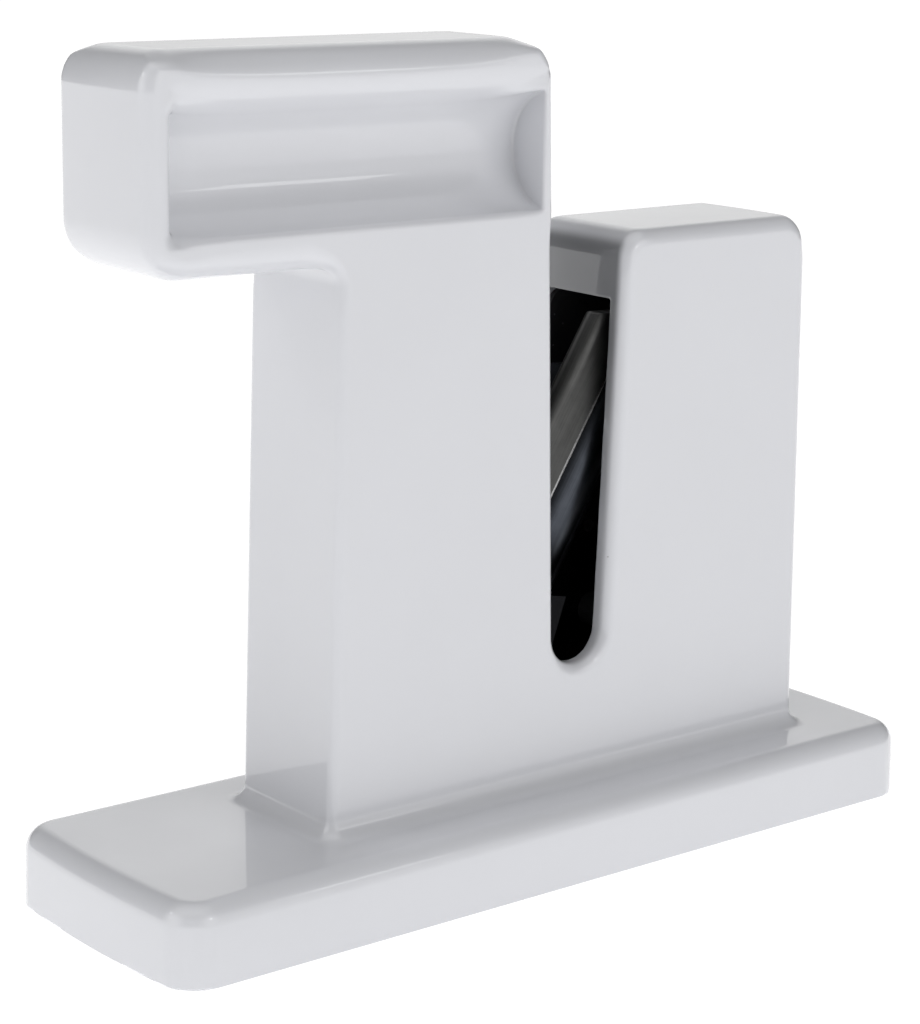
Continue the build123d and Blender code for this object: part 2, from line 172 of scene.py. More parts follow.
# Colours, and depths of grooves in metres
ENAMEL_LOW = (0.675, 0.682, 0.712)
ENAMEL_HIGH = (0.69, 0.697, 0.727)
# Dark colour painted on the slot's wall as shade
SLOT_WALL_SHADE = (0.23, 0.234, 0.245)
ENAMEL_SPECK = (0.42, 0.42, 0.43)
DUST_GAIN = 4
GROOVE_GAIN = 1.5
# Near black colour of an arm below the foot of its ridge
ARM_FOOT_BLACK = (0.008, 0.008, 0.009)
ARM_LOW = (0.035, 0.038, 0.045)
ARM_HIGH = (0.055, 0.06, 0.07)
# Bright colour painted beside the arms' ridges as a highlight
ARM_HIGHLIGHT = (0.22, 0.235, 0.26)
ARM_GROOVES = 0.000006
BAR_LOW = (0.05, 0.05, 0.049)
BAR_HIGH = (0.075, 0.075, 0.073)
# Bright colour painted on the bars' edges as highlights
BAR_HIGHLIGHT = (0.86, 0.86, 0.85)
BAR_GROOVES = 0.000004

# Floor, in metres: it looks white to the camera and glows faintly
FLOOR_REACH = 3.0
FLOOR_GLOW = 0.68
FLOOR_WHITE = 1.04
FLOOR_WHITE_SHARE = 0.85

# Light tent, by direction: azimuth from +Y towards +X and height of a glow, its outer and inner half
# angle, in degrees, and its gain
TENT_LEVEL = 0.06
TENT_ROOF = 0.04
TENT_SIDES = (
    ((168.0, 16.0), 38.0, 0.0, 1.42),
    ((172.0, 52.0), 38.0, 0.0, 0.3),
    ((-80.0, 14.0), 36.0, 0.0, 1.38),
    ((-80.0, 48.0), 38.0, 0.0, 0.5),
    ((38.0, 20.0), 30.0, 0.0, 0.95),
    ((0.0, 90.0), 42.0, 0.0, 0.9),
)

# Lamps, in metres: azimuth and height in degrees, and power in watts
LAMP_SIZE = 0.12
LAMP_DISTANCE = 1.4
LAMP_AIM_HEIGHT = 0.06
LAMPS = (
    ("camera side lamp", -132.0, 23.0, 0.2),
    ("left lamp", -62.0, 36.0, 0.36),
    ("right lamp", 142.0, 26.0, 0.12),
    ("front lamp", 174.0, 28.0, 0.4),
)

# Camera, in metres and degrees, fitted to the photograph
CAMERA_PLACE = (-0.2548, -0.3033, 0.1462)
CAMERA_AZIMUTH = 39.35
CAMERA_DIP = 13.41
CAMERA_ROLL = 0.98
CAMERA_FIELD = 20.99

# Hollow of the towers and recess of the bottom cover
HOLLOW_HALF = 41.2
HOLLOW_HALF_DEPTH = 7.7
HOLLOW_TOP = STAND + 82.6
HOLLOW_CORNER = 1.5
WINDOW_EDGE = 0.35
COVER_HALF_LENGTH = 62.05
COVER_HALF_WIDTH = 17.05
COVER_CORNER = 4.05
COVER_THICKNESS = 1.8

# Skin of the casting: how often its points slide on to it, and the least squared slope used there
SKIN_SLIDES = 6
LEAST_SLOPE = 0.2


def cove(a, b, r):
    """Union of two distances whose inner corner is filled to radius r."""
    return np.maximum(r, np.minimum(a, b)) - np.hypot(np.maximum(r - a, 0), np.maximum(r - b, 0))


def roundover(a, b, r):
    """Overlap of two distances whose outer corner is rounded to radius r."""
    return np.minimum(-r, np.maximum(a, b)) + np.hypot(np.maximum(r + a, 0), np.maximum(r + b, 0))


def ease(value, low, high):
    """0 below low and 1 above high, with a smooth cubic step between."""
    t = np.clip((value - low) / (high - low), 0, 1)
    return t * t * (3 - 2 * t)


def bowed_end(x, y, reach, radius):
    """Distance outside an upright cylinder face whose crown is at reach."""
    return np.hypot(x - (reach - radius), y) - radius


def base_block(x, y, z):
    """Plan with bowed ends and rounded corners, drafted upwards, its upper edge rounded."""
    lean = np.tan(radians(BASE_DRAFT)) * (z - STAND)
    ends = bowed_end(abs(x) + lean, y, BASE_HALF_LENGTH, BASE_END_BOW)
    sides = abs(y) - BASE_HALF_WIDTH + lean
    plan = roundover(ends, sides, BASE_CORNER)
    return np.maximum(roundover(plan, z - BASE_TOP, BASE_EDGE), STAND - z)


def knife_slot(x, z):
    """Distance outside a flared U: a round floor whose tangents open upwards."""
    flare = radians(SLOT_FLARE)
    across = abs(x - SLOT_X)
    up = z - (SLOT_LOW + SLOT_HALF)
    along = across * sin(flare) + up * cos(flare)
    wall = across * cos(flare) - up * sin(flare)
    return np.where(along > 0, wall, np.hypot(across, up)) - SLOT_HALF


def front_outline(x, y, z):
    """Towers and handle seen from the front, before the slot is cut."""
    slope = tan(radians(TOWER_DRAFT))
    left = -(x + LEFT_REACH - slope * (z - BASE_TOP)) * cos(radians(TOWER_DRAFT))
    nose = bowed_end(-x, y, HANDLE_REACH, HANDLE_END_BOW)
    handle = roundover(HANDLE_LOW - z, nose, HANDLE_HEEL)
    tall = roundover(cove(left, handle, ARMPIT_COVE), z - HANDLE_TOP, HANDLE_CORNER)
    right = bowed_end(x + slope * (z - BASE_TOP), y, RIGHT_REACH, RIGHT_END_BOW)
    short = roundover(right, z - RIGHT_TOP, RIGHT_CORNER)
    return np.maximum(tall, np.minimum(short, x - SLOT_X))


def rim_radius(x, z):
    """Radius of the front and rear rims at a place on the outline."""
    above = np.maximum(HANDLE_TOP - z, 0.0)
    below = np.maximum(z - HANDLE_LOW, 0.0)
    to_slot = np.maximum(knife_slot(x, z), 0.0)
    to_nose = np.maximum(HANDLE_REACH + x, 0.0)
    to_side = np.minimum(to_slot, to_nose)
    slot = (1 - ease(to_slot, *RIM_SLOT_NEAR)) * (1 - ease(z, *RIM_SLOT_TOP))
    nose = ease(-x, *RIM_NOSE_REACH) * ease(z, *RIM_HANDLE_FOOT)
    side = RIM_SIDE + RIM_MORE_AT_SLOT * slot + RIM_MORE_AT_NOSE * nose
    heel = ease(to_nose / (to_nose + below + SHARE_FLOOR), *RIM_HEEL_SHARE)
    heel = heel * ease(-x, *RIM_HEEL_REACH) * (1 - ease(z, *RIM_HEEL_TOP)) * ease(z, *RIM_HANDLE_FOOT)
    side = side + (RIM_HEEL - side) * heel
    cap = ease(x, SLOT_X, SLOT_X + RIM_CAP_WIDTH) * ease(z, *RIM_CAP_FOOT)
    side = side + (RIM_CAP - side) * cap
    roof = ease(to_side / (to_side + above + SHARE_FLOOR), *RIM_ROOF_SHARE) * ease(z, *RIM_ROOF_FOOT)
    return side + (RIM_ROOF - side) * roof * (1 - ease(x, *RIM_ROOF_END))


def finger_channel(x, y, z):
    """Distance outside the round bar, with closed ends, that cuts the channel in each face."""
    bar = np.hypot(abs(y) - BODY_HALF_DEPTH - CHANNEL_OUTSET, z - CHANNEL_Z) - CHANNEL_RADIUS
    closed = roundover(bar, CHANNEL_LEFT - x, CHANNEL_END)
    return roundover(closed, x - CHANNEL_RIGHT, CHANNEL_STOP)


def crest_radius(x, z):
    """Radius of the channel's mouth: a broad crest above, a crease below, firm at both ends."""
    half = sqrt(CHANNEL_RADIUS**2 - CHANNEL_OUTSET**2)
    to_end = np.maximum(np.minimum(x - CHANNEL_LEFT, CHANNEL_RIGHT - x) + MOUTH_MARGIN, 0.0)
    to_mouth = np.maximum(half - abs(z - CHANNEL_Z) + MOUTH_MARGIN, 0.0)
    middle = ease(to_end / (to_end + to_mouth + SHARE_FLOOR), *MOUTH_SHARE)
    long = CHANNEL_CREASE + (CHANNEL_CREST - CHANNEL_CREASE) * ease(z, *MOUTH_RISE)
    end = MOUTH_LEFT_END - MOUTH_LESS_AT_RIGHT * ease(x, *MOUTH_END_SPAN)
    return end + (long - end) * middle


def casting(x, y, z):
    """Signed distance to the enamelled casting, negative inside it."""
    slot_corner = SLOT_CORNER + SLOT_MORE_AT_HANDLE * ease(z, *SLOT_CORNER_RISE)
    outline = roundover(front_outline(x, y, z), -knife_slot(x, z), slot_corner)
    body = roundover(outline, abs(y) - BODY_HALF_DEPTH, rim_radius(x, z))
    body = roundover(body, -finger_channel(x, y, z), crest_radius(x, z))
    solid = cove(base_block(x, y, z), np.maximum(body, BASE_TOP - BASE_EDGE - z), ROOT_COVE)
    hollow = roundover(
        roundover(abs(x - SLOT_X) - HOLLOW_HALF, abs(y) - HOLLOW_HALF_DEPTH, HOLLOW_CORNER),
        z - HOLLOW_TOP,
        WINDOW_EDGE,
    )
    solid = roundover(solid, -hollow, WINDOW_EDGE)
    recess = np.maximum(
        roundover(abs(x) - COVER_HALF_LENGTH, abs(y) - COVER_HALF_WIDTH, COVER_CORNER),
        z - (STAND + COVER_THICKNESS),
    )
    return np.maximum(solid, -recess)


def stations(*spans):
    """Grid places: each span (start, end, step) is cut into equal parts near its step."""
    parts = [np.linspace(a, b, max(1, round((b - a) / step)), endpoint=False) for a, b, step in spans]
    return np.append(np.concatenate(parts), spans[-1][1])


def mirrored(places):
    """Grid places on both sides of zero."""
    return np.concatenate([-places[::-1], places[1:]])


def slope_of(field, points, step=0.01):
    """Slope of the field at points, by central differences."""
    rise = np.empty_like(points)
    for axis in range(3):
        offset = np.zeros(3)
        offset[axis] = step
        ahead = field(*(points + offset).T)
        behind = field(*(points - offset).T)
        rise[:, axis] = (ahead - behind) / (2 * step)
    return rise


def skin(field, places):
    """Surface where a field is zero, on a box grid with uneven steps.

    Each cell that the surface crosses gets one vertex: the mean of the crossings on its edges,
    slid along the slope until the field is zero. Each grid edge that crosses the surface gets one
    quad between its four cells, facing the way the field rises. Normals are the slope itself.
    """
    value = field(*np.meshgrid(*places, indexing="ij"))
    cells = [len(p) - 1 for p in places]
    stride = (cells[1] * cells[2], cells[2], 1)
    total = np.zeros((3, cells[0] * cells[1] * cells[2]))
    number = np.zeros(total.shape[1])
    quads = []
    for axis in range(3):
        low = value.take(range(cells[axis]), axis)
        high = value.take(range(1, cells[axis] + 1), axis)
        index = np.array(np.nonzero((low < 0) != (high < 0)))
        start, end = low[tuple(index)], high[tuple(index)]
        share = start / (start - end)
        point = np.array([places[k][index[k]] for k in range(3)])
        step = np.diff(places[axis])[index[axis]]
        point[axis] += share * step
        second, third = (axis + 1) % 3, (axis + 2) % 3
        cell = sum(index[k] * stride[k] for k in range(3))
        corners = []
        for back_two, back_three in ((1, 1), (0, 1), (0, 0), (1, 0)):
            corner = cell - back_two * stride[second] - back_three * stride[third]
            corners.append(corner)
            number += np.bincount(corner, minlength=number.size)
            for k in range(3):
                total[k] += np.bincount(corner, weights=point[k], minlength=number.size)
        corners = np.array(corners).T
        rising = (end > start)[:, None]
        quads.append(np.where(rising, corners, corners[:, ::-1]))
    used = np.nonzero(number)[0]
    order = np.full(number.size, -1)
    order[used] = np.arange(used.size)
    points = (total[:, used] / number[used]).T
    for _ in range(SKIN_SLIDES):
        rise = slope_of(field, points)
        points -= (field(*points.T) / np.maximum((rise**2).sum(1), LEAST_SLOPE))[:, None] * rise
    rise = slope_of(field, points)
    normals = rise / np.maximum(np.linalg.norm(rise, axis=1), 1e-6)[:, None]
    return points, order[np.concatenate(quads)], normals


def mesh_piece(name, points, faces, normals=None):
    """New object with smooth faces from points in millimetres."""
    mesh = bpy.data.meshes.new(name)
    mesh.from_pydata(points * MM, [], faces)
    mesh.polygons.foreach_set("use_smooth", np.ones(len(mesh.polygons), dtype=bool))
    mesh.validate()
    if normals is not None:
        mesh.normals_split_custom_set_from_vertices(normals)
    mesh.update()
    piece = bpy.data.objects.new(name, mesh)
    bpy.context.scene.collection.objects.link(piece)
    return piece


def tube_faces(rings, sides):
    """Faces between rings of points, closed at both ends."""
    a = np.arange(rings - 1)[:, None] * sides + np.arange(sides)
    b = np.arange(rings - 1)[:, None] * sides + (np.arange(sides) + 1) % sides
    faces = np.stack([a, b, b + sides, a + sides], -1).reshape(-1, 4).tolist()
    faces.append(list(range(sides))[::-1])
    faces.append(list(range((rings - 1) * sides, rings * sides)))
    return faces


def wound_spring(name, centre, low, high):
    """Coil: a circle of wire carried along a helix whose end turns lie close.

    It climbs evenly between its end turns, each of which climbs 2.2 times the wire's radius.
    """
    steps, sides = 36, 10
    t = np.linspace(0, 1, int(COIL_TURNS * steps) + 1)
    closed = 1.0 / COIL_TURNS
    pitch_share = np.clip((t - closed) / (1 - 2 * closed), 0, 1)
    flat = 1.1 * COIL_GAUGE * 2
    lower, upper = np.clip(t / closed, 0, 1), np.clip((t - 1 + closed) / closed, 0, 1)
    rise = low + COIL_GAUGE + flat * lower + flat * upper
    rise = rise + (high - low - 2 * COIL_GAUGE - 2 * flat) * pitch_share
    turn = 2 * pi * COIL_TURNS * t
    x = centre[0] + COIL_RADIUS * np.cos(turn)
    y = centre[1] + COIL_RADIUS * np.sin(turn)
    middle = np.stack([x, y, rise], 1)
    tangent = np.gradient(middle, axis=0)
    tangent /= np.linalg.norm(tangent, axis=1)[:, None]
    outward = np.stack([np.cos(turn), np.sin(turn), np.zeros_like(turn)], 1)
    upward = np.cross(tangent, outward)
    around = np.linspace(0, 2 * pi, sides, endpoint=False)
    ring = outward[:, None] * np.cos(around)[:, None] + upward[:, None] * np.sin(around)[:, None]
    points = (middle[:, None] + COIL_GAUGE * ring).reshape(-1, 3)
    return mesh_piece(name, points, tube_faces(len(t), sides))


def bar_profile(inset, corners, per_corner=7):
    """Rounded oblong, shrunk by an inset: places across and through, and outward normals.

    Quarter circles of the four corner radii, joined by straight runs, starting at the front left.
    """
    points, normals = [], []
    low = (inset, STEEL_FRONT + inset)
    high = (STEEL_WIDTH - inset, STEEL_REAR - inset)
    for number, (start, corner) in enumerate(zip((180, 270, 0, 90), corners)):
        r = max(corner - inset, THINNEST_CORNER)
        middle = (
            high[0] - r if number in (1, 2) else low[0] + r,
            high[1] - r if number in (2, 3) else low[1] + r,
        )
        angle = np.radians(start + np.linspace(0, 90, per_corner))
        facing = np.stack([np.cos(angle), np.sin(angle)], 1)
        points.append(np.array(middle) + r * facing)
        normals.append(facing)
    return np.concatenate(points), np.concatenate(normals)


def steel_bar(name, turned):
    """Bar of a honing steel: a rounded oblong along the lean, cut level below and near level above.

    Each ring is the profile with an inset; the insets follow a quarter circle at both ends.
    """
    lean, slope = radians(STEEL_LEAN), tan(radians(STEEL_TOP_SLOPE))
    near_top = (STEEL_CREST - STEEL_CROSSING) / cos(lean)
    top_x = SLOT_X + near_top * sin(lean)
    edge = STEEL_END_EDGE
    bend = np.linspace(0, pi / 2, 5)
    rings = [(edge * (1 - cos(b)), edge * (1 - sin(b)), 0, -sin(b)) for b in bend[::-1]]
    rings += [(0.0, 0.0, share, 0.0) for share in np.linspace(0, 1, 12)[1:-1]]
    rings += [(edge * (1 - cos(b)), -edge * (1 - sin(b)), 1, sin(b)) for b in bend]
    points, normals, places, painted_highlight = [], [], [], []
    for inset, shift, share, tip in rings:
        flat, facing = bar_profile(inset, STEEL_CORNERS)
        s, y = flat.T
        low = (STEEL_TANG - STEEL_CROSSING + s * sin(lean)) / cos(lean)
        drop = slope * (SLOT_X + s * cos(lean) - top_x)
        high = (STEEL_CREST - STEEL_CROSSING + s * sin(lean) - drop) / (cos(lean) + slope * sin(lean))
        t = low + (high - low) * share + shift
        x = SLOT_X + s * cos(lean) + t * sin(lean)
        z = STEEL_CROSSING - s * sin(lean) + t * cos(lean)
        points.append(np.stack([x, y, z], 1))
        side = np.stack([facing[:, 0] * cos(lean), facing[:, 1], -facing[:, 0] * sin(lean)], 1)
        turn = side * sqrt(1 - tip * tip) + np.array([0.0, 0.0, 1.0]) * tip
        normals.append(turn / np.linalg.norm(turn, axis=1)[:, None])
        around = np.concatenate([[0], np.cumsum(np.linalg.norm(np.diff(flat, axis=0), axis=1))])
        places.append(np.stack([around, t, 0 * t], 1))
        # Painted highlights: bright colour on the right front edge and, fainter, on the left front
        # rounding
        right_front = ease(facing[:, 0], *EDGE_HIGHLIGHT_RISE) * (1 - ease(facing[:, 0], *EDGE_HIGHLIGHT_FALL))
        right_front = right_front * (y < (STEEL_FRONT + STEEL_REAR) / 2)
        left_front = LEFT_HIGHLIGHT_SHARE * np.clip(-facing[:, 0], 0, 1) ** LEFT_HIGHLIGHT_SHARPNESS
        left_front = left_front * (y < STEEL_FRONT + STEEL_CORNERS[0] + LEFT_HIGHLIGHT_MARGIN)
        painted_highlight.append(right_front + left_front)
    sides = len(points[0])
    points, normals, places = (np.concatenate(rows) for rows in (points, normals, places))
    if turned:
        points = points * (-1, -1, 1) + (2 * SLOT_X, 0, 0)
        normals = normals * (-1, -1, 1)
    piece = mesh_piece(name, points, tube_faces(len(rings), sides), normals)
    stored = piece.data.attributes.new("bar place", "FLOAT_VECTOR", "POINT")
    stored.data.foreach_set("vector", (places * MM).ravel())
    # Mask of the painted highlights, stored on the points
    highlight_mask = piece.data.attributes.new("painted_highlight", "FLOAT", "POINT")
    highlight_mask.data.foreach_set("value", np.concatenate(painted_highlight))
    return piece


def new_material(name):
    """Empty material with a Principled shader, and its node tree."""
    material = bpy.data.materials.new(name)
    material.use_nodes = True
    tree = material.node_tree
    return material, tree, tree.nodes["Principled BSDF"]


def add_group(name, inputs, outputs):
    """Shader node group with named sockets."""
    group = bpy.data.node_groups.new(name, "ShaderNodeTree")
    for label, kind, value in inputs:
        socket = group.interface.new_socket(label, in_out="INPUT", socket_type=kind)
        if value is not None:
            socket.default_value = value
    for label, kind in outputs:
        group.interface.new_socket(label, in_out="OUTPUT", socket_type=kind)
    return group, group.nodes.new("NodeGroupInput"), group.nodes.new("NodeGroupOutput")


def feed(tree, value, socket):
    """Give a socket a plain value, or the value of another socket."""
    if isinstance(value, bpy.types.NodeSocket):
        tree.links.new(value, socket)
    else:
        socket.default_value = value


def arithmetic(tree, operation, *values):
    """One sum on sockets or numbers."""
    node = tree.nodes.new("ShaderNodeMath")
    node.operation = operation
    for socket, value in zip(node.inputs, values):
        feed(tree, value, socket)
    return node.outputs[0]


def step_of(tree, value, low, high):
    """Smooth step of a value: 0 at low and 1 at high."""
    step = tree.nodes.new("ShaderNodeMapRange")
    step.interpolation_type = "SMOOTHSTEP"
    step.inputs["From Min"].default_value = low
    step.inputs["From Max"].default_value = high
    feed(tree, value, step.inputs["Value"])
    return step.outputs["Result"]


def noise_of(tree, vector, scale, detail):
    """Noise texture node at a place."""
    noise = tree.nodes.new("ShaderNodeTexNoise")
    noise.inputs["Detail"].default_value = detail
    feed(tree, vector, noise.inputs["Vector"])
    feed(tree, scale, noise.inputs["Scale"])
    return noise


def object_place(tree):
    """Place in the shared frame, in metres."""
    return tree.nodes.new("ShaderNodeTexCoord").outputs["Object"]


def parts_of(tree, vector):
    """X, Y and Z of a vector."""
    parts = tree.nodes.new("ShaderNodeSeparateXYZ")
    feed(tree, vector, parts.inputs["Vector"])
    return [parts.outputs[letter] for letter in "XYZ"]


def normal_of(tree, height):
    """Normal of a surface raised by a height in metres."""
    bump = tree.nodes.new("ShaderNodeBump")
    bump.inputs["Distance"].default_value = 1.0
    feed(tree, height, bump.inputs["Height"])
    return bump.outputs["Normal"]


# Fine unevenness of a sprayed or moulded skin: two noises, as a normal and as a value
skin_group, skin_in, skin_out = add_group(
    "uneven skin",
    [
        ("Wave per metre", "NodeSocketFloat", 220.0),
        ("Grain per metre", "NodeSocketFloat", 2600.0),
        ("Wave height", "NodeSocketFloat", 0.000004),
        ("Grain height", "NodeSocketFloat", 0.0000004),
    ],
    [("Normal", "NodeSocketVector"), ("Tone", "NodeSocketFloat")],
)
place = object_place(skin_group)
wave = noise_of(skin_group, place, skin_in.outputs["Wave per metre"], 2.0)
grain = noise_of(skin_group, place, skin_in.outputs["Grain per metre"], 3.0)
wave_height = arithmetic(skin_group, "MULTIPLY", wave.outputs["Fac"], skin_in.outputs["Wave height"])
grain_height = arithmetic(skin_group, "MULTIPLY", grain.outputs["Fac"], skin_in.outputs["Grain height"])
height = arithmetic(skin_group, "ADD", wave_height, grain_height)
feed(skin_group, normal_of(skin_group, height), skin_out.inputs["Normal"])
feed(skin_group, wave.outputs["Fac"], skin_out.inputs["Tone"])

# Patches: a slow noise that moves a value between two ends, for handling marks and uneven gloss
patch_group, patch_in, patch_out = add_group(
    "patches",
    [
        ("Patches per metre", "NodeSocketFloat", 60.0),
        ("Low", "NodeSocketFloat", 0.0),
        ("High", "NodeSocketFloat", 1.0),
    ],
    [("Value", "NodeSocketFloat")],
)
noise = noise_of(patch_group, object_place(patch_group), patch_in.outputs["Patches per metre"], 4.0)
noise.inputs["Roughness"].default_value = 0.6
spread = patch_group.nodes.new("ShaderNodeMapRange")
spread.inputs["From Min"].default_value = 0.3
spread.inputs["From Max"].default_value = 0.7
feed(patch_group, noise.outputs["Fac"], spread.inputs["Value"])
feed(patch_group, patch_in.outputs["Low"], spread.inputs["To Min"])
feed(patch_group, patch_in.outputs["High"], spread.inputs["To Max"])
feed(patch_group, spread.outputs["Result"], patch_out.inputs["Value"])

# Specks: sparse small dots, as dust shot into the enamel or filings on the black parts
speck_group, speck_in, speck_out = add_group(
    "specks",
    [("Cells per metre", "NodeSocketFloat", 90.0), ("Size", "NodeSocketFloat", 0.012)],
    [("Mask", "NodeSocketFloat")],
)
cells = speck_group.nodes.new("ShaderNodeTexVoronoi")
feed(speck_group, object_place(speck_group), cells.inputs["Vector"])
feed(speck_group, speck_in.outputs["Cells per metre"], cells.inputs["Scale"])
near = arithmetic(speck_group, "LESS_THAN", cells.outputs["Distance"], speck_in.outputs["Size"])
feed(speck_group, near, speck_out.inputs["Mask"])

# Grooves: a noise drawn out along a bar, from a vector whose second part runs along it
groove_group, groove_in, groove_out = add_group(
    "grooves",
    [
        ("Vector", "NodeSocketVector", None),
        ("Depth", "NodeSocketFloat", 0.000006),
        ("Stretch", "NodeSocketVector", (4500.0, 90.0, 4500.0)),
    ],
    [("Normal", "NodeSocketVector"), ("Tone", "NodeSocketFloat")],
)
drawn = groove_group.nodes.new("ShaderNodeVectorMath")
drawn.operation = "MULTIPLY"
feed(groove_group, groove_in.outputs["Vector"], drawn.inputs[0])
feed(groove_group, groove_in.outputs["Stretch"], drawn.inputs[1])
noise = noise_of(groove_group, drawn.outputs[0], 1.0, 3.0)
height = arithmetic(groove_group, "MULTIPLY", noise.outputs["Fac"], groove_in.outputs["Depth"])
feed(groove_group, normal_of(groove_group, height), groove_out.inputs["Normal"])
feed(groove_group, noise.outputs["Fac"], groove_out.inputs["Tone"])


def place_group(tree, group, **values):
    """Group node in a material, with its own values."""
    node = tree.nodes.new("ShaderNodeGroup")
    node.node_tree = group
    for label, value in values.items():
        node.inputs[label.replace("_", " ")].default_value = value
    return node


def patches(tree, per_metre, low=0.0, high=1.0):
    """Value that drifts between two ends over a surface."""
    node = place_group(tree, patch_group, Patches_per_metre=per_metre, Low=low, High=high)
    return node.outputs["Value"]


def between(tree, mask, low, high):
    """Colour between two colours by a mask."""
    mix = tree.nodes.new("ShaderNodeMix")
    mix.data_type = "RGBA"
    for label, colour in (("A", low), ("B", high)):
        feed(tree, (*colour, 1) if isinstance(colour, tuple) else colour, mix.inputs[label])
    feed(tree, mask, mix.inputs["Factor"])
    return mix.outputs["Result"]


def painted_slot_shade(tree):
    """Mask of the painted shade on the slot's wall: it rises inwards from both faces."""
    x, y, z = parts_of(tree, object_place(tree))
    across = arithmetic(tree, "ABSOLUTE", arithmetic(tree, "SUBTRACT", x, SLOT_X * MM))
    depth = arithmetic(tree, "ABSOLUTE", y)
    mask = 1.0
    for value, span in ((across, SHADE_ACROSS), (depth, SHADE_DEPTH), (z, SHADE_RISE), (z, SHADE_TOP)):
        step = step_of(tree, value, *(edge * MM for edge in span))
        mask = arithmetic(tree, "MULTIPLY", mask, step)
    return mask


def enamel():
    """Glossy pale grey enamel: even colour with painted shade on the slot's wall, uneven gloss, a few
    specks.
    """
    material, tree, shader = new_material("pale grey enamel")
    uneven = place_group(tree, skin_group)
    body = between(tree, patches(tree, 28.0), ENAMEL_LOW, ENAMEL_HIGH)
    # Painted shade: the slot's wall gets a dark colour in place of shade from light
    body = between(tree, painted_slot_shade(tree), body, SLOT_WALL_SHADE)
    specks = place_group(tree, speck_group)
    body = between(tree, specks.outputs["Mask"], body, ENAMEL_SPECK)
    feed(tree, body, shader.inputs["Base Color"])
    feed(tree, patches(tree, 70.0, 0.30, 0.42), shader.inputs["Roughness"])
    feed(tree, patches(tree, 45.0, 0.95, 1.0), shader.inputs["Coat Weight"])
    feed(tree, uneven.outputs["Normal"], shader.inputs["Normal"])
    shader.inputs["Coat Roughness"].default_value = 0.035
    return material


def moulded(name, low, high, roughness):
    """Moulded black plastic or rubber: fine grain, worn patches, pale dust."""
    material, tree, shader = new_material(name)
    uneven = place_group(tree, skin_group, Grain_height=0.000012, Grain_per_metre=4200.0)
    body = between(tree, uneven.outputs["Tone"], low, high)
    dust = place_group(tree, speck_group, Cells_per_metre=420.0, Size=0.07)
    body = between(tree, dust.outputs["Mask"], body, tuple(DUST_GAIN * c for c in high))
    feed(tree, body, shader.inputs["Base Color"])
    feed(tree, uneven.outputs["Normal"], shader.inputs["Normal"])
    feed(tree, patches(tree, 60.0, roughness - 0.08, roughness + 0.08), shader.inputs["Roughness"])
    return material


def bare_metal(name, low, high, roughness, along=None, painted_highlight=None, depth=0.000002):
    """Ground, drawn or plated metal; along a bar it has lengthwise grooves and a painted highlight on
    an edge.
    """
    material, tree, shader = new_material(name)
    body = between(tree, patches(tree, 500.0), low, high)
    if along is None:
        marks = place_group(tree, skin_group, Wave_height=0.0, Grain_height=depth)
    else:
        marks = place_group(tree, groove_group, Depth=depth)
        vector, highlight_mask, upper = along(tree)
        feed(tree, vector, marks.inputs["Vector"])
        body = between(tree, marks.outputs["Tone"], body, tuple(GROOVE_GAIN * c for c in high))
        # Below the ridge's foot an arm is near black
        if upper is not None:
            body = between(tree, upper, ARM_FOOT_BLACK, body)
        # Painted highlight: a bright colour where the mask is set
        body = between(tree, highlight_mask, body, painted_highlight)
    feed(tree, body, shader.inputs["Base Color"])
    feed(tree, marks.outputs["Normal"], shader.inputs["Normal"])
    feed(tree, patches(tree, 300.0, roughness - 0.06, roughness + 0.06), shader.inputs["Roughness"])
    shader.inputs["Metallic"].default_value = 1.0
    return material


def along_bar(tree):
    """Place on a steel bar, around its profile and along it, and the mask of its painted edge
    highlights.
    """
    stored = tree.nodes.new("ShaderNodeAttribute")
    stored.attribute_name = "bar place"
    highlight_mask = tree.nodes.new("ShaderNodeAttribute")
    highlight_mask.attribute_name = "painted_highlight"
    return stored.outputs["Vector"], highlight_mask.outputs["Fac"], None


def along_arm(tree):
    """Place on an arm, second part along the lean, with the painted highlight line beside its ridge and
    its upper part.

    The rear arm is the front one turned half round the middle of the slot.
    """
    x, y, z = parts_of(tree, object_place(tree))
    side = arithmetic(tree, "SIGN", y)
    turned = arithmetic(tree, "MULTIPLY", arithmetic(tree, "SUBTRACT", x, SLOT_X * MM), side)
    joined = tree.nodes.new("ShaderNodeCombineXYZ")
    for label, part in (("X", turned), ("Y", z), ("Z", y)):
        feed(tree, part, joined.inputs[label])
    spin = tree.nodes.new("ShaderNodeVectorRotate")
    spin.rotation_type = "Z_AXIS"
    spin.inputs["Angle"].default_value = -radians(STEEL_LEAN)
    feed(tree, joined.outputs["Vector"], spin.inputs["Vector"])
    across = parts_of(tree, spin.outputs["Vector"])[0]
    # Painted highlight: a line across the lean beside the ridge's crest
    start, full, end = (edge * MM for edge in RIDGE_HIGHLIGHT_ACROSS)
    rising, falling = step_of(tree, across, start, full), step_of(tree, across, end, full)
    ridge = arithmetic(tree, "MULTIPLY", rising, falling)
    upper = step_of(tree, z, *(edge * MM for edge in RIDGE_FOOT))
    return spin.outputs["Vector"], arithmetic(tree, "MULTIPLY", ridge, upper), upper


